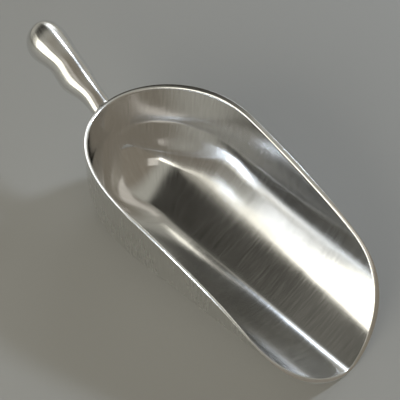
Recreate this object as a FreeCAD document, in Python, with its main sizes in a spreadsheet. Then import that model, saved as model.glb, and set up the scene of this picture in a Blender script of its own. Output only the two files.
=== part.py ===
import FreeCAD, Part
import math
import os

import Sketcher

# Ice scoop: a deep round-bottomed bowl with an open, rounded lip, and a short contoured handle
# welded to the outside of its back wall. Millimetres. +X runs from the handle to the lip, +Z is up.
# The sketches share one frame, whose X starts at the bowl's back wall and whose Z starts at the
# sole. The finished pieces are moved along X so that the origin is under the middle of the scoop.

os.makedirs("parts", exist_ok=True)
doc = FreeCAD.newDocument("ice_scoop")

DIMENSIONS = [
    # the bowl from above: a half-elliptical back and two nearly straight sides
    ("bowl_length", 260.0, "back wall to lip"),
    ("back_reach", 89.0, "length of the half-elliptical back"),
    ("half_width", 64.0, "half the outside width where the back ends"),
    ("mouth_half_width", 61.0, "half the outside width at the lip end of the sides"),
    # the bowl's cross-section, rounder at the back than at the mouth
    ("back_axis_height", 52.5, "height at which the curved bottom turns into the back wall"),
    ("back_power", 1.9, "shape of the curved bottom there, 2 would be an ellipse"),
    ("mouth_axis_height", 59.0, "height at which the bottom turns into the sides at the mouth"),
    ("mouth_power", 1.6, "shape of the curved bottom there"),
    ("base_round", 49.0, "length over which the floor curves up into the back wall"),
    ("wall_draft", 0.05, "how far the walls lean out for each millimetre of height"),
    ("wall", 3.2, "wall thickness"),
    # the rim's profile from the side: stations joined by tangent arcs
    ("rim_slope", 0.262, "rise of the rim for each millimetre at the back"),
    ("rim0_at", -10.0, "rim station behind the back wall"),
    ("rim0_height", 84.2, "rim height there"),
    ("rim1_at", 45.0, "rim station over the back"),
    ("rim1_height", 95.3, "rim height there"),
    ("rim2_at", 95.0, "rim station where the rim starts to fall"),
    ("rim2_height", 93.8, "rim height there"),
    ("rim3_at", 160.0, "rim station at the start of the nose"),
    ("rim3_height", 77.0, "rim height there"),
    ("rim4_at", 212.0, "rim station on the nose"),
    ("rim4_height", 54.5, "rim height there"),
    ("rim5_at", 260.0, "rim station at the lip's tip"),
    ("rim5_height", 0.9, "thickness of the ground edge there"),
    # the handle, along its own axis
    ("handle_rise", 28.3, "degrees between the handle's axis and the sole"),
    ("root_at", 1.2, "where the handle's axis starts along the bowl"),
    ("root_height", 75.6, "height at which it starts"),
    ("handle_length", 87.2, "root to the end of the butt"),
    ("butt_round", 19.0, "length of the domed end"),
    ("butt_power", 2.15, "shape of the domed end, 2 would be an ellipse"),
    # the finished scoop
    ("bead_radius", 1.6, "radius of the weld bead round the root"),
    ("centre_at", 91.0, "middle of the whole scoop along the bowl's X"),
]

RIM_STATIONS = 6

# Outlines of the bowl, as multiples of back_axis_height. The first one is the flat sole's cut.
OUTER_LEVELS = (0.02, 0.05, 0.11, 0.22, 0.38, 0.58, 0.8, 1.0, 1.13, 1.4, 1.7, 2.0)
INNER_LEVELS = (0.001, 0.02, 0.08, 0.19, 0.36, 0.57, 0.8, 1.0, 1.13, 1.4, 1.7, 2.0)

# Sections along the handle: name, distance from the root, half width, top and underside, the last
# two measured from the axis. The two deep undersides are the finger lobes.
GRIP_SECTIONS = [
    ("tail", -6.0, 9.2, 6.2, -6.6),
    ("neck", 4.0, 9.3, 6.4, -6.7),
    ("shank", 20.0, 9.6, 8.6, -10.2),
    ("front_lobe", 35.0, 13.2, 8.9, -17.1),
    ("dip", 52.0, 13.1, 11.5, -14.5),
    ("butt_lobe", 67.0, 15.9, 11.1, -20.4),
]
# Sections of the domed end, as shares of its length.
BUTT_SHARES = (0.0, 0.4, 0.7, 0.88, 0.97, 0.998)

MOUTH_MARGIN = 2.0
RIM_MARGIN = 12.0
BEAD_STATIONS = 24


def make_sheet():
    sheet = doc.addObject("Spreadsheet::Sheet", "dims")
    row = 1
    for alias, value, note in DIMENSIONS:
        sheet.set(f"A{row}", note)
        sheet.set(f"B{row}", str(value))
        sheet.setAlias(f"B{row}", alias)
        row += 1
    for name, at, half_width, top, underside in GRIP_SECTIONS:
        values = (("at", at), ("half_width", half_width), ("top", top), ("underside", underside))
        for word, value in values:
            sheet.set(f"A{row}", f"handle section {name}: {word}")
            sheet.set(f"B{row}", str(value))
            sheet.setAlias(f"B{row}", f"{name}_{word}")
            row += 1
    doc.recompute()
    return sheet


def origin_plane(body, role):
    return [feature for feature in body.Origin.OriginFeatures if feature.Role == role][0]


def new_sketch(body, name, role, offset=None):
    """A sketch on one of the body's own origin planes, lifted off it by the expression offset."""
    sketch = body.newObject("Sketcher::SketchObject", name)
    sketch.AttachmentSupport = [(origin_plane(body, role), "")]
    sketch.MapMode = "FlatFace"
    if offset is not None:
        sketch.setExpression("AttachmentOffset.Base.z", offset)
    return sketch


def add_dimension(sketch, name, constraint, expression):
    index = sketch.addConstraint(constraint)
    sketch.renameConstraint(index, name)
    sketch.setExpression(f"Constraints.{name}", expression)


def add_level(body, name, height, reach, half_width, mouth_half_width, mouth_at):
    """One horizontal outline of the bowl: a half-ellipse at the back, two sides and the mouth.

    Every argument after name is an expression over the sheet.
    """
    sketch = new_sketch(body, name, "XY_Plane", height)
    centre = sketch.evalExpression("dims.back_reach")
    long_radius = sketch.evalExpression(reach)
    short_radius = sketch.evalExpression(half_width)
    mouth_half = sketch.evalExpression(mouth_half_width)
    mouth = sketch.evalExpression(mouth_at)
    ellipse = Part.Ellipse(
        FreeCAD.Vector(centre + long_radius, 0, 0),
        FreeCAD.Vector(centre, short_radius, 0),
        FreeCAD.Vector(centre, 0, 0),
    )
    right_back = FreeCAD.Vector(centre, -short_radius, 0)
    right_front = FreeCAD.Vector(mouth, -mouth_half, 0)
    left_front = FreeCAD.Vector(mouth, mouth_half, 0)
    left_back = FreeCAD.Vector(centre, short_radius, 0)
    back = sketch.addGeometry(Part.ArcOfEllipse(ellipse, math.pi / 2, 3 * math.pi / 2))
    right = sketch.addGeometry(Part.LineSegment(right_back, right_front))
    front = sketch.addGeometry(Part.LineSegment(right_front, left_front))
    left = sketch.addGeometry(Part.LineSegment(left_front, left_back))
    sketch.exposeInternalGeometry(back)
    long_axis = left + 1
    short_axis = left + 2
    sketch.addConstraint([
        Sketcher.Constraint("PointOnObject", back, 3, -1),
        Sketcher.Constraint("Horizontal", long_axis),
        Sketcher.Constraint("Vertical", back, 1, back, 3),
        Sketcher.Constraint("Vertical", back, 2, back, 3),
        Sketcher.Constraint("Coincident", back, 2, right, 1),
        Sketcher.Constraint("Coincident", right, 2, front, 1),
        Sketcher.Constraint("Coincident", front, 2, left, 1),
        Sketcher.Constraint("Coincident", left, 2, back, 1),
        Sketcher.Constraint("Symmetric", front, 1, front, 2, -1),
    ])
    add_dimension(
        sketch, "centre_at",
        Sketcher.Constraint("DistanceX", -1, 1, back, 3, centre), "dims.back_reach")
    add_dimension(
        sketch, "long_axis",
        Sketcher.Constraint("Distance", long_axis, 2 * long_radius), f"2 * ({reach})")
    add_dimension(
        sketch, "short_axis",
        Sketcher.Constraint("Distance", short_axis, 2 * short_radius), f"2 * ({half_width})")
    add_dimension(
        sketch, "mouth_at",
        Sketcher.Constraint("DistanceX", -1, 1, front, 1, mouth), mouth_at)
    add_dimension(
        sketch, "mouth_width",
        Sketcher.Constraint("Distance", front, 2 * mouth_half), f"2 * ({mouth_half_width})")
    return sketch


def add_loft(body, name, sketches):
    loft = body.newObject("PartDesign::AdditiveLoft", name)
    loft.Profile = sketches[0]
    loft.Sections = sketches[1:]
    doc.recompute()
    return loft


def add_bowl_levels(body, inset, floor_height, levels, mouth_at):
    """Outlines of the bowl from the sole up, each inset from the outside by the expression inset."""
    sketches = []
    for number, level in enumerate(levels):
        share = (level - levels[0]) / (1 - levels[0])
        height = f"({floor_height} + (dims.back_axis_height - {floor_height}) * {share})"
        depth = max(0, 1 - level)
        mouth_rise = f"(dims.back_axis_height - {floor_height}) * {level}"
        mouth_depth = f"max(0; 1 - {mouth_rise} / (dims.mouth_axis_height - {floor_height}))"
        back_spread = f"(1 - {depth}^dims.back_power)^(1 / dims.back_power)"
        mouth_spread = f"(1 - {mouth_depth}^dims.mouth_power)^(1 / dims.mouth_power)"
        back_lean = f"dims.wall_draft * max(0; {height} - dims.back_axis_height)"
        mouth_lean = f"dims.wall_draft * max(0; {height} - dims.mouth_axis_height)"
        setback = f"(dims.base_round - {inset}) * (1 - sqrt(1 - {depth}^2))"
        sketches.append(add_level(
            body,
            f"{body.Name}_level{number}",
            height,
            f"dims.back_reach - {inset} - {setback} + {back_lean}",
            f"(dims.half_width - {inset}) * {back_spread} + {back_lean}",
            f"(dims.mouth_half_width - {inset}) * {mouth_spread} + {mouth_lean}",
            mouth_at,
        ))
    return sketches


def arc_from(start, direction, end):
    """The arc that leaves start along direction and ends at end, and its direction there."""
    chord = end - start
    side = FreeCAD.Vector(-direction.y, direction.x, 0)
    centre = start + side * (chord.dot(chord) / (2 * chord.dot(side)))
    radius = (start - centre).Length
    outwards = (start + end) * 0.5 - centre
    outwards.normalize()
    along = chord * (1 / chord.Length)
    end_direction = along * (2 * direction.dot(along)) - direction
    return Part.Arc(start, centre + outwards * radius, end), end_direction


def add_rim_cut(body):
    """Cuts the walls down to the rim, whose side profile is a chain of tangent arcs."""
    sketch = new_sketch(body, "rim_profile", "XZ_Plane")
    value = sketch.evalExpression
    stations = [
        FreeCAD.Vector(value(f"dims.rim{i}_at"), value(f"dims.rim{i}_height"), 0)
        for i in range(RIM_STATIONS)
    ]
    direction = FreeCAD.Vector(1, value("dims.rim_slope"), 0)
    behind = stations[0] - direction * RIM_MARGIN
    direction.normalize()
    lead_in = sketch.addGeometry(Part.LineSegment(behind, stations[0]))
    arcs = []
    for start, end in zip(stations, stations[1:]):
        arc, direction = arc_from(start, direction, end)
        arcs.append(sketch.addGeometry(arc))
    ahead = FreeCAD.Vector(stations[-1].x + RIM_MARGIN, stations[-1].y, 0)
    top_ahead = FreeCAD.Vector(ahead.x, value("2 * dims.back_axis_height") + RIM_MARGIN, 0)
    top_behind = FreeCAD.Vector(behind.x, top_ahead.y, 0)
    lead_out = sketch.addGeometry(Part.LineSegment(stations[-1], ahead))
    front = sketch.addGeometry(Part.LineSegment(ahead, top_ahead))
    top = sketch.addGeometry(Part.LineSegment(top_ahead, top_behind))
    back = sketch.addGeometry(Part.LineSegment(top_behind, behind))
    # the rim turns clockwise all the way, so each arc's second end is the one nearer the handle
    constraints = [Sketcher.Constraint("Tangent", lead_in, 2, arcs[0], 2)]
    for near, far in zip(arcs, arcs[1:]):
        constraints.append(Sketcher.Constraint("Tangent", near, 1, far, 2))
    constraints += [
        Sketcher.Constraint("Coincident", arcs[-1], 1, lead_out, 1),
        Sketcher.Constraint("Coincident", lead_out, 2, front, 1),
        Sketcher.Constraint("Coincident", front, 2, top, 1),
        Sketcher.Constraint("Coincident", top, 2, back, 1),
        Sketcher.Constraint("Coincident", back, 2, lead_in, 1),
        Sketcher.Constraint("Horizontal", lead_out),
        Sketcher.Constraint("Vertical", front),
        Sketcher.Constraint("Horizontal", top),
        Sketcher.Constraint("Vertical", back),
    ]
    sketch.addConstraint(constraints)
    ends = [(lead_in, 2)] + [(arc, 1) for arc in arcs]
    for i, (geometry, end) in enumerate(ends):
        add_dimension(
            sketch, f"rim{i}_at",
            Sketcher.Constraint("DistanceX", -1, 1, geometry, end, stations[i].x),
            f"dims.rim{i}_at")
        add_dimension(
            sketch, f"rim{i}_height",
            Sketcher.Constraint("DistanceY", -1, 1, geometry, end, stations[i].y),
            f"dims.rim{i}_height")
    add_dimension(
        sketch, "rim_slope",
        Sketcher.Constraint("Angle", lead_in, math.atan(value("dims.rim_slope"))),
        "atan(dims.rim_slope)")
    add_dimension(
        sketch, "behind",
        Sketcher.Constraint("DistanceX", lead_in, 1, lead_in, 2, RIM_MARGIN),
        f"{RIM_MARGIN}")
    add_dimension(
        sketch, "ahead",
        Sketcher.Constraint("DistanceX", lead_out, 1, lead_out, 2, RIM_MARGIN),
        f"{RIM_MARGIN}")
    add_dimension(
        sketch, "top",
        Sketcher.Constraint("DistanceY", -1, 1, top, 1, top_ahead.y),
        f"2 * dims.back_axis_height + {RIM_MARGIN}")
    cut = body.newObject("PartDesign::Pocket", "rim_cut")
    cut.Profile = sketch
    cut.SideType = "Symmetric"
    cut.setExpression("Length", "4 * dims.half_width")
    doc.recompute()
    return cut


def add_grip_section(body, name, at, half_width, top, underside):
    """One elliptical section of the handle; every argument after name is an expression."""
    sketch = new_sketch(body, name, "YZ_Plane", at)
    middle = sketch.evalExpression(f"({top} + {underside}) / 2")
    half_height = sketch.evalExpression(f"({top} - ({underside})) / 2")
    half_across = sketch.evalExpression(half_width)
    ellipse = Part.Ellipse(
        FreeCAD.Vector(half_across, middle, 0),
        FreeCAD.Vector(0, middle + half_height, 0),
        FreeCAD.Vector(0, middle, 0),
    )
    outline = sketch.addGeometry(ellipse)
    sketch.exposeInternalGeometry(outline)
    across = outline + 1
    upright = outline + 2
    sketch.addConstraint([
        Sketcher.Constraint("PointOnObject", outline, 3, -2),
        Sketcher.Constraint("Horizontal", across),
    ])
    add_dimension(
        sketch, "middle",
        Sketcher.Constraint("DistanceY", -1, 1, outline, 3, middle), f"({top} + {underside}) / 2")
    add_dimension(
        sketch, "width",
        Sketcher.Constraint("Distance", across, 2 * half_across), f"2 * ({half_width})")
    add_dimension(
        sketch, "depth",
        Sketcher.Constraint("Distance", upright, 2 * half_height), f"{top} - ({underside})")
    return sketch


def add_grip_sections(body):
    sketches = []
    for name, _, _, _, _ in GRIP_SECTIONS:
        sketches.append(add_grip_section(
            body, f"section_{name}", f"dims.{name}_at", f"dims.{name}_half_width",
            f"dims.{name}_top", f"dims.{name}_underside"))
    for number, share in enumerate(BUTT_SHARES):
        shrink = f"(1 - {share}^dims.butt_power)^(1 / dims.butt_power)"
        sketches.append(add_grip_section(
            body,
            f"section_butt{number}",
            f"dims.handle_length - dims.butt_round * {1 - share}",
            f"dims.butt_lobe_half_width * {shrink}",
            f"dims.butt_lobe_top * {shrink}",
            f"dims.butt_lobe_underside * {shrink}",
        ))
    return sketches


def make_bowl_blank():
    """The bowl's outside, as a solid with the rim already cut."""
    body = doc.addObject("PartDesign::Body", "blank")
    levels = add_bowl_levels(body, "0", "0", OUTER_LEVELS, "dims.bowl_length")
    add_loft(body, "outside", levels)
    add_rim_cut(body)
    return body


def make_cavity():
    """The bowl's inside, longer than the bowl so that it opens the mouth."""
    body = doc.addObject("PartDesign::Body", "cavity")
    levels = add_bowl_levels(
        body, "dims.wall", "dims.wall", INNER_LEVELS, f"dims.bowl_length + {MOUTH_MARGIN}")
    add_loft(body, "inside", levels)
    return body


def make_handle_blank():
    """The handle before its saddle is cut, laid along its axis from the root to the butt."""
    body = doc.addObject("PartDesign::Body", "grip")
    add_loft(body, "grip_loft", add_grip_sections(body))
    rise = math.radians(sheet.handle_rise)
    along = FreeCAD.Vector(-math.cos(rise), 0, math.sin(rise))
    up = FreeCAD.Vector(math.sin(rise), 0, math.cos(rise))
    turn = FreeCAD.Rotation(along, up.cross(along), up, "ZXY")
    body.Placement = FreeCAD.Placement(FreeCAD.Vector(sheet.root_at, 0, sheet.root_height), turn)
    return body


def make_cut(name, base, tool):
    cut = doc.addObject("Part::Cut", name)
    cut.Base = base
    cut.Tool = tool
    doc.recompute()
    return cut


def make_weld_bead(blank, grip):
    """A ring of weld round the root, where the handle meets the back wall."""
    seam = Part.Wire(Part.__sortEdges__(blank.Shape.section(grip.Shape).Edges))
    path = Part.BSplineCurve()
    path.interpolate(seam.discretize(Number=BEAD_STATIONS + 1)[:-1], PeriodicFlag=True)
    span = path.LastParameter - path.FirstParameter
    rings = []
    for number in range(BEAD_STATIONS):
        at = path.FirstParameter + span * number / BEAD_STATIONS
        circle = Part.makeCircle(sheet.bead_radius, path.value(at), path.tangent(at)[0])
        rings.append(Part.Wire(circle))
    tube = Part.makeLoft(rings, True, False, True)
    bead = doc.addObject("Part::Feature", "bead")
    bead.Shape = tube.cut(blank.Shape).cut(grip.Shape)
    return bead


def finish(piece, label):
    """Names a finished piece and moves it so that the origin is under the scoop's middle."""
    piece.Label = label
    piece.setExpression("Placement.Base.x", "-dims.centre_at")
    return piece


def export(pieces):
    doc.recompute()
    for item in doc.Objects:
        broken = [state for state in item.State if state in ("Invalid", "Error")]
        if broken:
            raise RuntimeError(f"{item.Name} is {broken}")
    for piece in pieces:
        shape = piece.Shape
        if shape.isNull() or not shape.isValid():
            raise RuntimeError(f"{piece.Label} has no valid shape")
        shape.exportStep(f"parts/{piece.Label}.step")
        box = shape.optimalBoundingBox(False)
        print(piece.Label, len(shape.Solids), "solids", round(shape.Volume), "mm3",
              [round(value, 2) for value in (box.XMin, box.YMin, box.ZMin)],
              [round(value, 2) for value in (box.XMax, box.YMax, box.ZMax)])


sheet = make_sheet()
bowl_blank = make_bowl_blank()
bowl_cavity = make_cavity()
handle_blank = make_handle_blank()
weld_bead = make_weld_bead(bowl_blank, handle_blank)
bowl = make_cut("bowl_shell", bowl_blank, bowl_cavity)
handle = make_cut("handle_casting", handle_blank, bowl_blank)

export([finish(bowl, "bowl"), finish(handle, "handle"), finish(weld_bead, "weld_bead")])
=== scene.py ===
"""A cast and polished aluminium ice scoop: the looks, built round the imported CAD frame."""

import math

import bmesh
import bpy
import numpy as np
from mathutils import Matrix, Vector


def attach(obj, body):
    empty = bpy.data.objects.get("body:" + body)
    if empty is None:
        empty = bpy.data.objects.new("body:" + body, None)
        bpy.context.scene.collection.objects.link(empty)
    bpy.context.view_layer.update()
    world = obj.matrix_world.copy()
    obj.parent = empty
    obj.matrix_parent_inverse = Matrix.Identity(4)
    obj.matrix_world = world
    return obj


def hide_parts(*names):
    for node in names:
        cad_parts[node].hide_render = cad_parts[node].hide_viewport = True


# Bowl, in metres, measured from the back of its outside. These repeat the CAD's own dimensions.
BOWL_LENGTH = 0.260
BACK_REACH = 0.089
HALF_WIDTH = 0.064
MOUTH_HALF_WIDTH = 0.061
BACK_AXIS_HEIGHT = 0.0525
BACK_POWER = 1.9
MOUTH_AXIS_HEIGHT = 0.059
MOUTH_POWER = 1.6
BASE_ROUND = 0.049
WALL_DRAFT = 0.05
WALL = 0.0032
RIM_SLOPE = 0.262
RIM_STATIONS = (
    (-0.010, 0.0842),
    (0.045, 0.0953),
    (0.095, 0.0938),
    (0.160, 0.0770),
    (0.212, 0.0545),
    (0.260, 0.0009),
)
CENTRE_AT = 0.091

# Where this bowl differs from the CAD: softer inside, thinner at the lip, with a rounded rim
INSIDE_BACK_POWER = 1.6
INSIDE_MOUTH_POWER = 1.5
INSIDE_BASE_ROUND = 0.058
SOLE_LEVEL = 0.02
KEEL_SOFTNESS = 0.05
HEEL_ROUNDING = 5.0
HEEL_FADE = 0.9
LIP_WALL = 0.0011
LIP_RUN = 0.105
RIM_DROP_INSIDE = 0.0020
RIM_DROP_OUTSIDE = 0.0005
RIM_PULL = 0.0007

# How finely the bowl is divided. Ribs crowd towards the lip, and rows towards the keel.
BACK_RIBS = 72
SIDE_RIBS = 128
RIB_BUNCHING = 1.6
SKIN_ROWS = 96
ROW_BUNCHING = 1.7
RIM_ROWS = 10
TOP_LEVEL = 2.0
RIM_SEARCH_STEPS = 48
WELD_DISTANCE = 2e-6

# Handle, in metres, measured along its own axis from where it meets the bowl
HANDLE_RISE = math.radians(28.3)
ROOT_AT = 0.0012
ROOT_HEIGHT = 0.0756
HANDLE_LENGTH = 0.0872
BUTT_ROUND = 0.019
BUTT_POWER = 2.15
# station, half width, top, underside
GRIP_SECTIONS = (
    (-0.006, 0.0092, 0.0062, -0.0066),
    (0.004, 0.0093, 0.0064, -0.0067),
    (0.020, 0.0096, 0.0086, -0.0102),
    (0.035, 0.0132, 0.0089, -0.0171),
    (0.052, 0.0131, 0.0115, -0.0145),
    (0.067, 0.0159, 0.0111, -0.0204),
    (0.0872, 0.0164, 0.0114, -0.0209),
)
GRIP_SIDES = 96
GRIP_RINGS = 120
BUTT_RINGS = 28
BUTT_END_SHARE = 0.99999
ROOT_DEPTH = 0.0007
ROOT_SEARCH_FROM = -0.006
ROOT_SEARCH_TO = 0.02
ROOT_SEARCH_STEPS = 40
# the radius that turns angles round the handle into lengths for the polishing marks
LAY_RADIUS = 0.012

# Fillet, in metres. Its edges are sunk a little into the handle and the wall.
FILLET = 0.0019
FILLET_ROWS = 8
FILLET_HOLLOW = 0.10
FILLET_EDGE_SINK = 0.0005
FILLET_BACK_SINK = 0.0006
FILLET_ROW_LAY = 0.001
FILLET_WELD_DISTANCE = 1e-6

# Camera, in metres
CAMERA_AT = Vector((0.35731, -0.43829, 0.88244))
CAMERA_AIM = Vector((0.00680, 0.00324, 0.05414))
CAMERA_ROLL = math.radians(5.43)
CAMERA_LENS = 118.86
SENSOR_WIDTH = 36.0
CLIP_START = 0.01

# Light: name, azimuth and elevation in degrees, distance, width, height, radiance, colour
LIGHT_AIM = Vector((0.0, 0.0, 0.04))
SOFTBOXES = (
    ("key", 78, 45, 1.5, 0.18, 0.18, 54.0, (0.78, 0.88, 1.0)),
    ("window_left", 274, 27, 1.4, 1.12, 0.92, 2.3, (1.0, 0.97, 0.84)),
    ("window_far", 118, 33, 1.4, 0.54, 0.66, 1.5, (0.95, 0.98, 1.0)),
    ("wall_left", 234, 28, 1.6, 0.62, 0.98, 0.44, (1.0, 0.95, 0.80)),
    ("panel", 318, 47, 1.5, 0.60, 0.50, 0.42, (1.0, 0.96, 0.88)),
)
# Room: the colours of its two sides and its ceiling, and where the side changes. The ceiling's
# strip is given as start, end and softness along and across the bowl.
COOL_SIDE = (0.37, 0.36, 0.31)
TAUPE_SIDE = (0.21, 0.185, 0.145)
CEILING_DARK = (0.032, 0.030, 0.025)
CEILING_ALONG = (-0.75, -0.10, 0.12)
CEILING_ACROSS = (-0.85, 0.52, 0.06)
SIDE_CHANGE = (0.15, 0.55)

FLOOR_HALF = 3.0
FLOOR_COLOUR = (0.44, 0.44, 0.435, 1)
FLOOR_ROUGHNESS = 0.75

# Metal: patches of gloss and waves of the surface per metre, and the tone of the dull strokes
CLOUD_SCALE = (26, 26, 26)
WAVE_SCALE = (34, 34, 34)
GLOSS_SPREAD = (0.3, 0.7)
TONE_SPREAD = (0.25, 0.75)
DULL_TONE = 0.86


# ---------------------------------------------------------------- bowl shape


def rim_arcs():
    """The rim's side profile as tangent arcs: end of each arc along the bowl, centre and radius."""
    direction = Vector((1, RIM_SLOPE)).normalized()
    arcs = []
    for near, far in zip(RIM_STATIONS, RIM_STATIONS[1:]):
        start, end = Vector(near), Vector(far)
        chord = end - start
        side = Vector((-direction.y, direction.x))
        centre = start + side * (chord.dot(chord) / (2 * chord.dot(side)))
        arcs.append((end.x, centre, (start - centre).length))
        along = chord.normalized()
        direction = along * (2 * direction.dot(along)) - direction
    return arcs


def rim_height(along, drop):
    """Height of the rim's side profile, lowered square to itself by drop."""
    arcs = rim_arcs()
    height = np.zeros_like(along)
    start = -np.inf
    for end, centre, radius in arcs:
        last = end == arcs[-1][0]
        here = (along > start) & ((along <= end) | last)
        reach = (radius - drop) ** 2 - (along - centre.x) ** 2
        height[here] = (centre.y + np.sqrt(np.maximum(reach, 0)))[here]
        start = end
    return height


def ease(share):
    """0 to 1 with a soft start and a soft end."""
    share = np.clip(share, 0, 1)
    return share * share * (3 - 2 * share)


def skin_point(rib, level, inside, tip):
    """Points of one skin. A rib runs from 0 at the middle of the back, past 1 where the back
    meets the side, to 2 at the lip. A level runs from 0 at the keel up through the rim."""
    back = np.minimum(rib, 1.0)
    side = np.maximum(rib - 1.0, 0.0)
    along_side = BACK_REACH + (tip - BACK_REACH) * (1 - (1 - side) ** RIB_BUNCHING)
    near_lip = ease((along_side - (BOWL_LENGTH - LIP_RUN)) / LIP_RUN)
    if inside:
        inset = WALL + (LIP_WALL - WALL) * near_lip
        floor = inset
        low = 0.0
        back_power, mouth_power = INSIDE_BACK_POWER, INSIDE_MOUTH_POWER
        base_round = INSIDE_BASE_ROUND
    else:
        inset = 0.0
        floor = 0.0
        back_power, mouth_power = BACK_POWER, MOUTH_POWER
        base_round = BASE_ROUND
        low = SOLE_LEVEL * (1 - near_lip)
    real = low + (1 - low) * level
    height = floor + (BACK_AXIS_HEIGHT - floor) * level
    depth = np.maximum(0, 1 - real)
    mouth_depth = np.maximum(0, 1 - (BACK_AXIS_HEIGHT - floor) * real / (MOUTH_AXIS_HEIGHT - floor))
    # the curved bottom is softened at the keel, and the softening fades out up the walls
    back_keel = 1 + KEEL_SOFTNESS * depth ** 2 / np.maximum(real, 1e-9)
    mouth_keel = 1 + KEEL_SOFTNESS * mouth_depth ** 2 / np.maximum(real, 1e-9)
    back_spread = (1 - depth ** back_power) ** (1 / back_power)
    back_spread = back_spread * back_keel ** (1 / back_power - 0.5)
    mouth_spread = (1 - mouth_depth ** mouth_power) ** (1 / mouth_power)
    mouth_spread = mouth_spread * mouth_keel ** (1 / mouth_power - 0.5)
    lean_back = WALL_DRAFT * np.maximum(0, height - BACK_AXIS_HEIGHT)
    lean_mouth = WALL_DRAFT * np.maximum(0, height - MOUTH_AXIS_HEIGHT)
    setback = (base_round - inset) * (1 - np.sqrt(1 - depth ** 2))
    reach = BACK_REACH - inset - setback + lean_back
    half_back = (HALF_WIDTH - inset) * back_spread + lean_back
    half_mouth = (MOUTH_HALF_WIDTH - inset) * mouth_spread + lean_mouth
    turn = back * math.pi / 2
    to_mouth = (along_side - BACK_REACH) / (BOWL_LENGTH - BACK_REACH)
    along = np.where(rib <= 1.0, BACK_REACH - reach * np.cos(turn), along_side)
    heel = 2 + HEEL_ROUNDING * (1 - ease(real / HEEL_FADE)) ** 2
    round_back = np.sqrt(np.maximum(0, 1 - np.maximum(0, np.cos(turn)) ** heel))
    across = np.where(
        rib <= 1.0, half_back * round_back, half_back + (half_mouth - half_back) * to_mouth)
    return np.stack([along, across, height], axis=-1)


def rim_level(ribs, inside, tip, drop):
    """The level at which each rib meets the lowered rim profile."""
    low = np.zeros_like(ribs)
    high = np.full_like(ribs, TOP_LEVEL)
    for _ in range(RIM_SEARCH_STEPS):
        middle = (low + high) / 2
        point = skin_point(ribs, middle, inside, tip)
        above = point[:, 2] > rim_height(point[:, 0], drop)
        high = np.where(above, middle, high)
        low = np.where(above, low, middle)
    return (low + high) / 2


def lip_tip(height, drop):
    """How far along the bowl the lowered rim profile comes down to a height."""
    end, centre, radius = rim_arcs()[-1]
    return centre.x + math.sqrt((radius - drop) ** 2 - (height - centre.y) ** 2)


def skin_rows(ribs, inside):
    """Half of one skin as rows of points from the keel to the rim, one row for each step."""
    height = LIP_WALL if inside else 0.0
    drop = RIM_DROP_INSIDE if inside else RIM_DROP_OUTSIDE
    tip = lip_tip(height, drop)
    top = rim_level(ribs, inside, tip, drop)
    steps = np.linspace(0, 1, SKIN_ROWS + 1) ** ROW_BUNCHING
    return [skin_point(ribs, top * step, inside, tip) for step in steps]


def unit(vectors):
    length = np.linalg.norm(vectors, axis=-1, keepdims=True)
    return vectors / np.maximum(length, 1e-12)


def edge_direction(rows):
    """The way each skin runs on past its edge, square to the edge and within the skin."""
    edge = rows[-1]
    along = np.gradient(edge, axis=0)
    upwards = rows[-1] - rows[-2]
    normal = unit(np.cross(along, upwards))
    normal[-1] = (0, 0, 1)
    along[-1] = (0, 1, 0)
    out = unit(np.cross(normal, along))
    forward = np.sum(out * upwards, axis=-1, keepdims=True)
    out = np.where(forward < 0, -out, out)
    out[-1] = (1, 0, 0)
    return out


def rim_rows(inner, outer):
    """Rows of points that round the rim over from the inner skin to the outer one."""
    start, end = inner[-1], outer[-1]
    lead = edge_direction(inner)
    fall = edge_direction(outer)
    rows = []
    for i in range(1, RIM_ROWS):
        t = i / RIM_ROWS
        rows.append(
            start * (1 - t) ** 3
            + (start + lead * RIM_PULL) * 3 * t * (1 - t) ** 2
            + (end + fall * RIM_PULL) * 3 * t ** 2 * (1 - t)
            + end * t ** 3)
    return rows


def full_row(half):
    """A half row and its mirror image: from one side of the lip, round the back, to the other."""
    mirrored = half[::-1].copy()
    mirrored[:, 1] *= -1
    return np.concatenate([mirrored[:-1], half])


def mesh_object(name, points, faces, lay, parts):
    """A smooth mesh with its polishing coordinates and the material index of each face."""
    mesh = bpy.data.meshes.new(name)
    mesh.from_pydata(points, [], faces)
    attribute = mesh.attributes.new("lay", "FLOAT_VECTOR", "POINT")
    attribute.data.foreach_set("vector", np.asarray(lay, np.float32).ravel())
    flat = mesh.uv_layers.new(name="lay_flat")
    corners = np.zeros(len(mesh.loops), np.int32)
    mesh.loops.foreach_get("vertex_index", corners)
    flat.data.foreach_set("uv", np.asarray(lay, np.float32)[corners, :2].ravel())
    mesh.polygons.foreach_set("material_index", parts)
    mesh.polygons.foreach_set("use_smooth", [True] * len(faces))
    piece = bpy.data.objects.new(name, mesh)
    bpy.context.scene.collection.objects.link(piece)
    return piece


def weld(piece, distance):
    """Merges points that lie on each other, drops the faces that vanish and closes the slits
    that this leaves."""
    work = bmesh.new()
    work.from_mesh(piece.data)
    bmesh.ops.remove_doubles(work, verts=work.verts, dist=distance)
    bmesh.ops.dissolve_degenerate(work, edges=work.edges, dist=distance)
    slits = [edge for edge in work.edges if edge.is_boundary]
    bmesh.ops.holes_fill(work, edges=slits, sides=0)
    bmesh.ops.recalc_face_normals(work, faces=work.faces)
    work.to_mesh(piece.data)
    work.free()
    piece.data.polygons.foreach_set("use_smooth", [True] * len(piece.data.polygons))


def bowl_lay(grid, rim_row):
    """Polishing coordinates of the bowl's points: the way along the rim, and up over the skins."""
    around = np.linalg.norm(np.diff(grid[rim_row], axis=0), axis=-1)
    distance = np.concatenate([[0], np.cumsum(around)])
    upwards = np.linalg.norm(np.diff(grid, axis=0), axis=-1)
    climb = np.concatenate([np.zeros((1, grid.shape[1])), np.cumsum(upwards, axis=0)])
    return np.stack(
        [np.broadcast_to(distance, climb.shape), climb, np.zeros_like(climb)], axis=-1)


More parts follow.
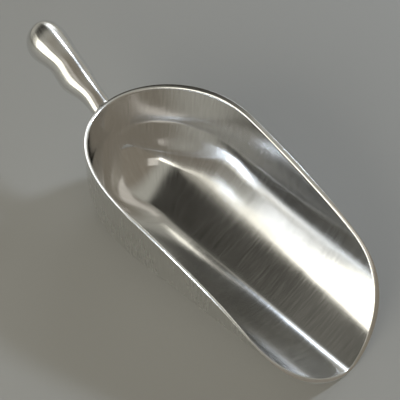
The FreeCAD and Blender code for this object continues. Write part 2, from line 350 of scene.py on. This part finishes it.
def make_bowl():
    """The bowl: inner skin, rounded rim and outer skin in one closed mesh."""
    back = np.linspace(0, 1, BACK_RIBS + 1)
    side = 1 + np.linspace(0, 1, SIDE_RIBS + 1)[1:]
    ribs = np.concatenate([back, side])
    inner = skin_rows(ribs, True)
    outer = skin_rows(ribs, False)
    rim = rim_rows(inner, outer)
    rows = [full_row(row) for row in inner + rim + outer[::-1]]
    points = np.concatenate(rows)
    width = len(rows[0])
    lay = bowl_lay(np.array(rows), len(inner) - 1)
    faces = []
    parts = []
    inner_last = len(inner) - 1
    outer_first = inner_last + len(rim) + 1
    for r in range(len(rows) - 1):
        part = 0 if r < inner_last else (1 if r < outer_first else 2)
        for c in range(width - 1):
            a = r * width + c
            faces.append((a, a + 1, a + width + 1, a + width))
            parts.append(part)
    # the inner skin's two sides share the keel line, and the outer ones are joined by the sole
    middle = (width - 1) // 2
    last = (len(rows) - 1) * width
    for c in range(middle):
        a, b = last + c, last + width - 1 - c
        faces.append((a, b, b - 1, a + 1))
        parts.append(2)
    points[:, 0] -= CENTRE_AT
    piece = mesh_object("scoop_bowl", points.tolist(), faces, lay.reshape(-1, 3), parts)
    weld(piece, WELD_DISTANCE)
    return piece


# ---------------------------------------------------------------- handle shape


def smooth_between(stations, values, at):
    """A smooth curve through the values, with each station's slope a weighted mean of the slopes either
    side.
    """
    stations, values = np.asarray(stations), np.asarray(values)
    gaps = np.diff(stations)
    slopes = np.diff(values) / gaps
    tangents = np.zeros_like(values)
    tangents[0], tangents[-1] = slopes[0], slopes[-1]
    for i in range(1, len(values) - 1):
        tangents[i] = (slopes[i - 1] * gaps[i] + slopes[i] * gaps[i - 1]) / (gaps[i] + gaps[i - 1])
    i = np.clip(np.searchsorted(stations, at) - 1, 0, len(gaps) - 1)
    t = (at - stations[i]) / gaps[i]
    return (
        values[i] * (2 * t ** 3 - 3 * t ** 2 + 1)
        + tangents[i] * gaps[i] * (t ** 3 - 2 * t ** 2 + t)
        + values[i + 1] * (3 * t ** 2 - 2 * t ** 3)
        + tangents[i + 1] * gaps[i] * (t ** 3 - t ** 2))


def grip_size(at):
    """Half width, middle and half height of the handle's section at a station."""
    stations, half_widths, tops, undersides = zip(*GRIP_SECTIONS)
    half_width = smooth_between(stations, half_widths, at)
    top = smooth_between(stations, tops, at)
    underside = smooth_between(stations, undersides, at)
    share = np.clip((at - (HANDLE_LENGTH - BUTT_ROUND)) / BUTT_ROUND, 0, 1)
    scale = (1 - share ** BUTT_POWER) ** (1 / BUTT_POWER)
    return half_width * scale, (top + underside) / 2 * scale, (top - underside) / 2 * scale


def grip_point(at, turn):
    """A point of the handle's surface in the bowl's own coordinates."""
    half_width, middle, half_height = grip_size(at)
    up = middle + half_height * np.sin(turn)
    across = half_width * np.cos(turn)
    along = ROOT_AT - at * math.cos(HANDLE_RISE) + up * math.sin(HANDLE_RISE)
    height = ROOT_HEIGHT + at * math.sin(HANDLE_RISE) + up * math.cos(HANDLE_RISE)
    return np.stack([along, across, height], axis=-1)


def wall_gap(point, inset):
    """How far a point is outside the bowl's back wall, along the bowl. Negative inside it."""
    height = point[..., 2]
    level = height / BACK_AXIS_HEIGHT
    depth = np.maximum(0, 1 - level)
    lean = WALL_DRAFT * np.maximum(0, height - BACK_AXIS_HEIGHT)
    setback = BASE_ROUND * (1 - np.sqrt(1 - depth ** 2))
    spread = (1 - depth ** BACK_POWER) ** (1 / BACK_POWER)
    reach = BACK_REACH - inset - setback + lean
    half = (HALF_WIDTH - inset) * spread + lean
    share = np.clip(point[..., 1] / half, -1, 1)
    return BACK_REACH - reach * np.sqrt(1 - share ** 2) - point[..., 0]


def root_station(turn, inset):
    """The station at which each line along the handle meets the back wall."""
    low = np.full_like(turn, ROOT_SEARCH_FROM)
    high = np.full_like(turn, ROOT_SEARCH_TO)
    for _ in range(ROOT_SEARCH_STEPS):
        middle = (low + high) / 2
        outside = wall_gap(grip_point(middle, turn), inset) > 0
        high = np.where(outside, middle, high)
        low = np.where(outside, low, middle)
    return (low + high) / 2


def faces_between(rings, bands):
    """The faces that join each ring of GRIP_SIDES points to the next, for a number of bands.
    As many bands as rings close the tube on itself."""
    faces = []
    for r in range(bands):
        s = (r + 1) % rings
        for c in range(GRIP_SIDES):
            d = (c + 1) % GRIP_SIDES
            faces.append((
                r * GRIP_SIDES + c, r * GRIP_SIDES + d,
                s * GRIP_SIDES + d, s * GRIP_SIDES + c))
    return faces


def make_handle():
    """The finger-grip handle, from just inside the back wall to its rounded butt."""
    turn = np.linspace(0, 2 * math.pi, GRIP_SIDES, endpoint=False)
    start = root_station(turn, ROOT_DEPTH)
    shoulder = HANDLE_LENGTH - BUTT_ROUND
    stations = []
    for share in np.linspace(0, 1, GRIP_RINGS + 1):
        stations.append(start + (shoulder - start) * share)
    for i in range(1, BUTT_RINGS + 1):
        share = math.sin(i / BUTT_RINGS * math.pi / 2)
        stations.append(np.full_like(turn, shoulder + BUTT_ROUND * share * BUTT_END_SHARE))
    rings = [grip_point(at, turn) for at in stations]
    points = np.concatenate(rings)
    lay = np.concatenate([
        np.stack([at, turn * LAY_RADIUS, np.ones_like(turn)], axis=-1) for at in stations])
    faces = faces_between(len(rings), len(rings) - 1)
    last = (len(rings) - 1) * GRIP_SIDES
    faces.append(tuple(last + c for c in range(GRIP_SIDES)))
    faces.append(tuple(reversed(range(GRIP_SIDES))))
    points[:, 0] -= CENTRE_AT
    piece = mesh_object("scoop_handle", points.tolist(), faces, lay, [0] * len(faces))
    weld(piece, WELD_DISTANCE)
    return piece


def make_fillet():
    """The dressed weld: a hollow-faced fillet between the handle and the back wall."""
    turn = np.linspace(0, 2 * math.pi, GRIP_SIDES, endpoint=False)
    at = root_station(turn, 0.0)
    corner = grip_point(at, turn)
    up_handle = grip_point(at + FILLET, turn)
    outwards = unit(np.stack([
        math.sin(HANDLE_RISE) * np.sin(turn), np.cos(turn),
        math.cos(HANDLE_RISE) * np.sin(turn)], axis=-1))
    on_wall = corner + outwards * FILLET
    on_wall[:, 0] += wall_gap(on_wall, 0.0)
    inside = grip_point(root_station(turn, ROOT_DEPTH), turn) - outwards * FILLET_BACK_SINK
    sunk_handle = up_handle - outwards * FILLET_EDGE_SINK
    sunk_wall = on_wall.copy()
    sunk_wall[:, 0] += FILLET_EDGE_SINK
    rows = [inside, sunk_handle]
    for i in range(FILLET_ROWS + 1):
        t = i / FILLET_ROWS
        hollow = corner + (up_handle + on_wall - 2 * corner) * FILLET_HOLLOW
        rows.append(up_handle * (1 - t) ** 2 + hollow * 2 * t * (1 - t) + on_wall * t ** 2)
    rows.append(sunk_wall)
    points = np.concatenate(rows)
    lay = np.concatenate([
        np.stack([np.full_like(turn, r * FILLET_ROW_LAY), turn * LAY_RADIUS, np.ones_like(turn)], axis=-1)
        for r in range(len(rows))])
    faces = faces_between(len(rows), len(rows))
    points[:, 0] -= CENTRE_AT
    piece = mesh_object("scoop_weld", points.tolist(), faces, lay, [0] * len(faces))
    weld(piece, FILLET_WELD_DISTANCE)
    return piece


# ---------------------------------------------------------------- materials


def new_material(name):
    material = bpy.data.materials.new(name)
    material.use_nodes = True
    nodes = material.node_tree.nodes
    return material, nodes, material.node_tree.links, nodes["Principled BSDF"]


def noise_at(nodes, links, vector, stretch, detail):
    """Noise whose scale along each of the vector's directions is given per metre."""
    mapping = nodes.new("ShaderNodeMapping")
    mapping.inputs["Scale"].default_value = stretch
    noise = nodes.new("ShaderNodeTexNoise")
    noise.inputs["Scale"].default_value = 1.0
    noise.inputs["Detail"].default_value = detail
    links.new(vector, mapping.inputs["Vector"])
    links.new(mapping.outputs["Vector"], noise.inputs["Vector"])
    return noise.outputs["Fac"]


def ranged(nodes, links, value, start, end, low, high):
    """The value's stretch from start to end, spread over low to high."""
    step = nodes.new("ShaderNodeMapRange")
    step.inputs["From Min"].default_value = start
    step.inputs["From Max"].default_value = end
    step.inputs["To Min"].default_value = low
    step.inputs["To Max"].default_value = high
    links.new(value, step.inputs["Value"])
    return step.outputs["Result"]


def bump(nodes, links, height, depth, below=None):
    node = nodes.new("ShaderNodeBump")
    node.inputs["Strength"].default_value = 1.0
    node.inputs["Distance"].default_value = depth
    links.new(height, node.inputs["Height"])
    if below is not None:
        links.new(below, node.inputs["Normal"])
    return node.outputs["Normal"]


def polished(name, colour, gloss, strokes, fine_lines, depths, anisotropy, worn=None):
    """Polished aluminium: wheel strokes, fine lines, cloudy gloss and a slightly wavy surface.

    Strokes and fine lines are marks per metre along each polishing coordinate. Depths are those
    of the strokes, the lines and the waves. Worn is a start, an end and the roughness it adds.
    """
    material, nodes, links, shader = new_material(name)
    shader.inputs["Metallic"].default_value = 1.0
    shader.inputs["Anisotropic"].default_value = anisotropy
    tangent = nodes.new("ShaderNodeTangent")
    tangent.direction_type = "UV_MAP"
    tangent.uv_map = "lay_flat"
    links.new(tangent.outputs["Tangent"], shader.inputs["Tangent"])
    attribute = nodes.new("ShaderNodeAttribute")
    attribute.attribute_name = "lay"
    place = nodes.new("ShaderNodeTexCoord")
    lay, where = attribute.outputs["Vector"], place.outputs["Object"]
    stroke = noise_at(nodes, links, lay, strokes, 3.0)
    line = noise_at(nodes, links, lay, fine_lines, 2.0)
    cloud = noise_at(nodes, links, where, CLOUD_SCALE, 4.0)
    wave = noise_at(nodes, links, where, WAVE_SCALE, 1.0)
    smooth, rough = gloss
    shine = nodes.new("ShaderNodeMath")
    shine.operation = "ADD"
    from_stroke = ranged(nodes, links, stroke, *GLOSS_SPREAD, 0.0, (rough - smooth) / 2)
    from_cloud = ranged(nodes, links, cloud, *GLOSS_SPREAD, smooth, (rough + smooth) / 2)
    links.new(from_stroke, shine.inputs[0])
    links.new(from_cloud, shine.inputs[1])
    shine = shine.outputs["Value"]
    if worn is not None:
        start, end, extra = worn
        split = nodes.new("ShaderNodeSeparateXYZ")
        links.new(where, split.inputs["Vector"])
        wear = nodes.new("ShaderNodeMath")
        wear.operation = "ADD"
        links.new(shine, wear.inputs[0])
        links.new(ranged(nodes, links, split.outputs["X"], start, end, 0.0, extra), wear.inputs[1])
        shine = wear.outputs["Value"]
    links.new(shine, shader.inputs["Roughness"])
    dull = tuple(c * DULL_TONE for c in colour)
    brightness = ranged(nodes, links, stroke, *TONE_SPREAD, 0, 1)
    tone = blend_colour(nodes, links, brightness, dull, colour)
    links.new(tone, shader.inputs["Base Color"])
    relief = None
    for height, depth in zip((stroke, line, wave), depths):
        relief = bump(nodes, links, height, depth, relief)
    links.new(relief, shader.inputs["Normal"])
    return material


def floor_material():
    material, _, _, shader = new_material("pale_floor")
    shader.inputs["Base Color"].default_value = FLOOR_COLOUR
    shader.inputs["Roughness"].default_value = FLOOR_ROUGHNESS
    return material


# ---------------------------------------------------------------- stage


def make_floor():
    size = FLOOR_HALF
    mesh = bpy.data.meshes.new("floor")
    corners = [(-size, -size, 0), (size, -size, 0), (size, size, 0), (-size, size, 0)]
    mesh.from_pydata(corners, [], [(0, 1, 2, 3)])
    floor = bpy.data.objects.new("floor", mesh)
    bpy.context.scene.collection.objects.link(floor)
    floor.data.materials.append(floor_material())


def make_camera():
    """The camera at the photograph's angle: it looks down on the open bowl from the lip's left."""
    data = bpy.data.cameras.new("camera")
    data.lens = CAMERA_LENS
    data.sensor_width = SENSOR_WIDTH
    data.clip_start = CLIP_START
    camera = bpy.data.objects.new("camera", data)
    bpy.context.scene.collection.objects.link(camera)
    camera.location = CAMERA_AT
    facing = (CAMERA_AIM - CAMERA_AT).to_track_quat("-Z", "Y")
    camera.rotation_mode = "QUATERNION"
    camera.rotation_quaternion = facing @ Matrix.Rotation(CAMERA_ROLL, 3, "Z").to_quaternion()
    bpy.context.scene.camera = camera


def towards(azimuth, elevation):
    """The unit vector to a direction given in degrees, azimuth from +X towards +Y."""
    azimuth, elevation = math.radians(azimuth), math.radians(elevation)
    return Vector((
        math.cos(azimuth) * math.cos(elevation),
        math.sin(azimuth) * math.cos(elevation),
        math.sin(elevation)))


def make_softbox(name, azimuth, elevation, distance, width, height, radiance, colour):
    """A rectangular soft light that faces the scoop from a direction."""
    data = bpy.data.lights.new(name, "AREA")
    data.shape = "RECTANGLE"
    data.size = width
    data.size_y = height
    data.energy = radiance * math.pi * width * height
    data.color = colour
    light = bpy.data.objects.new(name, data)
    bpy.context.scene.collection.objects.link(light)
    light.location = LIGHT_AIM + towards(azimuth, elevation) * distance
    light.rotation_mode = "QUATERNION"
    light.rotation_quaternion = (LIGHT_AIM - light.location).to_track_quat("-Z", "Y")
    light.visible_camera = False


def soft_step(nodes, links, value, start, end):
    """0 below start and 1 above end, with a soft change between."""
    step = nodes.new("ShaderNodeMapRange")
    step.interpolation_type = "SMOOTHSTEP"
    step.inputs["From Min"].default_value = start
    step.inputs["From Max"].default_value = end
    links.new(value, step.inputs["Value"])
    return step.outputs["Result"]


def blend_colour(nodes, links, factor, below, above):
    mix = nodes.new("ShaderNodeMix")
    mix.data_type = "RGBA"
    links.new(factor, mix.inputs["Factor"])
    for name, colour in (("A", below), ("B", above)):
        if isinstance(colour, tuple):
            mix.inputs[name].default_value = (*colour, 1)
        else:
            links.new(colour, mix.inputs[name])
    return mix.outputs["Result"]


def make_world():
    """A plain room: a taupe side, a cooler side and a dark strip of ceiling between them."""
    world = bpy.data.worlds.new("world")
    world.use_nodes = True
    nodes, links = world.node_tree.nodes, world.node_tree.links
    place = nodes.new("ShaderNodeTexCoord")
    split = nodes.new("ShaderNodeSeparateXYZ")
    links.new(place.outputs["Generated"], split.inputs["Vector"])
    sideways = soft_step(nodes, links, split.outputs["X"], *SIDE_CHANGE)
    room = blend_colour(nodes, links, sideways, COOL_SIDE, TAUPE_SIDE)
    strip = None
    for axis, (start, end, soft) in (("X", CEILING_ALONG), ("Y", CEILING_ACROSS)):
        for low, high in ((start - soft, start + soft), (end + soft, end - soft)):
            edge = soft_step(nodes, links, split.outputs[axis], low, high)
            if strip is None:
                strip = edge
                continue
            both = nodes.new("ShaderNodeMath")
            both.operation = "MULTIPLY"
            links.new(strip, both.inputs[0])
            links.new(edge, both.inputs[1])
            strip = both.outputs["Value"]
    room = blend_colour(nodes, links, strip, room, CEILING_DARK)
    background = nodes["Background"]
    links.new(room, background.inputs["Color"])
    background.inputs["Strength"].default_value = 1.0
    bpy.context.scene.world = world


# ---------------------------------------------------------------- build

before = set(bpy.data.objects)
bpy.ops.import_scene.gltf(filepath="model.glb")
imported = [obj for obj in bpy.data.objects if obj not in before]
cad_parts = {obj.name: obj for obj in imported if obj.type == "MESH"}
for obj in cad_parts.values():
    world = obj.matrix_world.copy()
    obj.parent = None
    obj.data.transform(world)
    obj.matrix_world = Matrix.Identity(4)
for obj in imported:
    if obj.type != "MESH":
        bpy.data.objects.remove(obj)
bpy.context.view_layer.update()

make_camera()
make_floor()
make_world()
for softbox in SOFTBOXES:
    make_softbox(*softbox)
bpy.context.scene.view_settings.view_transform = "Standard"

bowl = make_bowl()
handle = make_handle()
fillet = make_fillet()

inner_finish = polished(
    "bowl_inside",
    colour=(0.90, 0.90, 0.90),
    gloss=(0.06, 0.15),
    strokes=(700, 45, 1),
    fine_lines=(110, 2200, 1),
    depths=(0.000010, 0.0000025, 0.00016),
    anisotropy=0.8,
    worn=(-0.07, 0.02, 0.10))
rim_finish = polished(
    "bowl_rim",
    colour=(0.93, 0.93, 0.93),
    gloss=(0.16, 0.28),
    strokes=(90, 2200, 1),
    fine_lines=(110, 2600, 1),
    depths=(0.000006, 0.0000025, 0.0001),
    anisotropy=0.3)
outer_finish = polished(
    "bowl_outside",
    colour=(0.86, 0.86, 0.85),
    gloss=(0.18, 0.32),
    strokes=(700, 45, 1),
    fine_lines=(110, 2200, 1),
    depths=(0.000004, 0.000002, 0.00022),
    anisotropy=0.6)
grip_finish = polished(
    "handle_metal",
    colour=(0.90, 0.90, 0.90),
    gloss=(0.18, 0.28),
    strokes=(45, 900, 1),
    fine_lines=(110, 2200, 1),
    depths=(0.000008, 0.000003, 0.00012),
    anisotropy=0.85)

for finish in (inner_finish, rim_finish, outer_finish):
    bowl.data.materials.append(finish)
handle.data.materials.append(grip_finish)
fillet.data.materials.append(grip_finish)

for piece, node, slot in (
        (bowl, "bowl", "bowl_metal"),
        (handle, "handle", "handle_metal"),
        (fillet, "weld_bead", "weld_metal")):
    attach(piece, "root")
    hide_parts(node)
